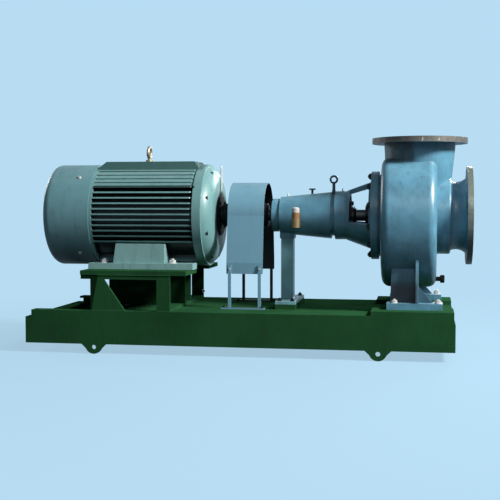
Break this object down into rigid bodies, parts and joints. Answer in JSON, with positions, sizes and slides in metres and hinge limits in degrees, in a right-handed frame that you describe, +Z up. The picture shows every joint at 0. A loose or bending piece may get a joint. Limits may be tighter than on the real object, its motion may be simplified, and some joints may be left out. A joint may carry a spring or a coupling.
{
  "type": "mixed flow pump set",
  "caption": "Horizontal mixed flow pump with spiral casing, bearing housing, guarded coupling and finned electric motor on a welded base frame.",
  "frame": {"origin": "middle of the overall box at the floor, under the lugs of the base", "axes": "+X along the shaft from the motor to the suction flange, +Z up through the discharge, -Y the side with the oil level cup"},
  "size_m": [2.274, 0.82, 1.107],
  "materials": {
    "base_green": "satin dark green paint",
    "motor_paint": "satin grey green paint",
    "black_paint": "black paint",
    "bright_steel": "turned steel",
    "guard_paint": "pale blue grey paint",
    "pump_paint": "satin steel blue paint",
    "cast_metal": "cast and ground",
    "brass_trim": "dull brass",
    "oil_glass": "clear oil glass"
  },
  "bodies": {
    "pump_set": {"bearing_cover": "black_paint", "bearing_housing": "pump_paint", "breather_plug": "brass_trim", "casing_cover": "pump_paint", "coupling_guard": "guard_paint", "cross_members": "base_green", "deck_plate": "base_green", "drive_cap": "black_paint", "drive_shield": "motor_paint", "end_cap": "pump_paint", "end_member_left": "base_green", "end_member_right": "base_green", "fan_cover": "motor_paint", "guard_legs": "guard_paint", "housing_eye_bolt": "pump_paint", "lantern": "pump_paint", "motor_eye_bolt": "bright_steel", "motor_feet": "motor_paint", "motor_frame": "motor_paint", "oil_level_cup": "brass_trim", "oil_level_glass": "oil_glass", "pedestal": "base_green", "pump_pads": "base_green", "rear_shield": "motor_paint", "shaft_gland": "brass_trim", "side_rail_far": "base_green", "side_rail_near": "base_green", "stand_end_left": "base_green", "stand_end_right": "base_green", "stand_side_far": "base_green", "stand_side_near": "base_green", "stand_tops": "base_green", "stand_webs": "base_green", "suction_cover": "pump_paint", "support_post": "pump_paint", "terminal_box": "motor_paint", "terminal_lid": "motor_paint", "volute_casing": "pump_paint"},
    "rotor": {"motor_fan": "black_paint", "motor_shaft": "bright_steel", "coupling_half_motor": "black_paint", "coupling_half_pump": "black_paint", "coupling_pins": "bright_steel", "pump_shaft": "bright_steel", "impeller": "cast_metal"}
  },
  "joints": [
    {"name": "rotor_spin", "type": "hinge", "parent": "pump_set", "child": "rotor", "pos_m": [0, 0, 0.707], "axis": [1, 0, 0], "continuous": true}
  ]
}
